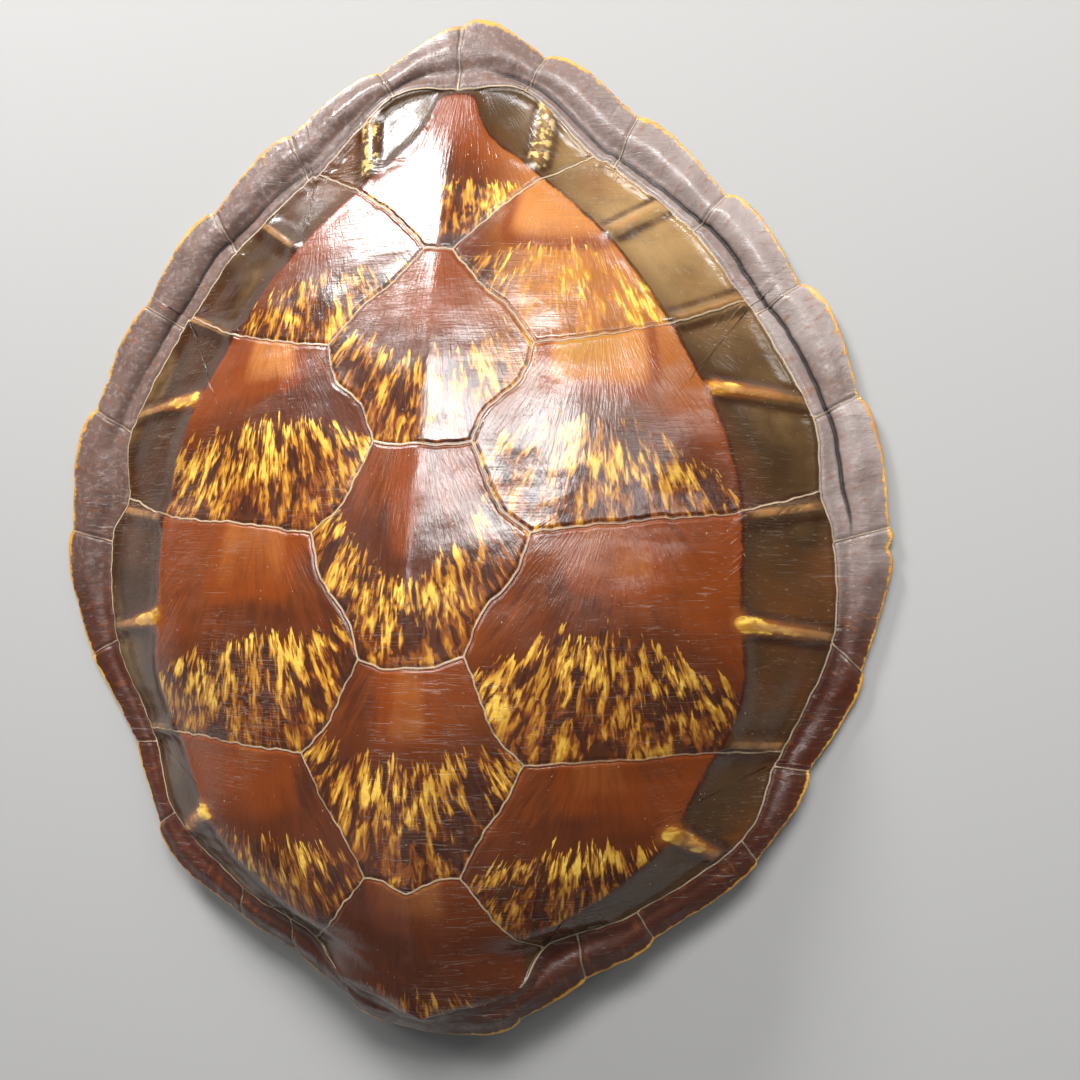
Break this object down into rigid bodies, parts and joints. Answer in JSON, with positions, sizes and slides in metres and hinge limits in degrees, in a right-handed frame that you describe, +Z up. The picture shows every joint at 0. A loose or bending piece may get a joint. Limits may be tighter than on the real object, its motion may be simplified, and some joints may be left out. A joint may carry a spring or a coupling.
{
  "type": "sea turtle shell",
  "caption": "Domed carapace of a sea turtle with a soft keel, scutes parted by fine seams, and a flared, notched rim; hollow underneath.",
  "frame": {"origin": "bottom centre of the bounding box, on the plane the rim rests on", "axes": "+Z up through the dome, +Y towards the tail along the keel, +X to the right in plan with the tail away from the viewer"},
  "size_m": [0.4274, 0.5012, 0.0918],
  "materials": {
    "horn": "varnished tortoiseshell horn, amber to dark brown"
  },
  "bodies": {
    "root": {"carapace": "horn"}
  },
  "joints": []
}
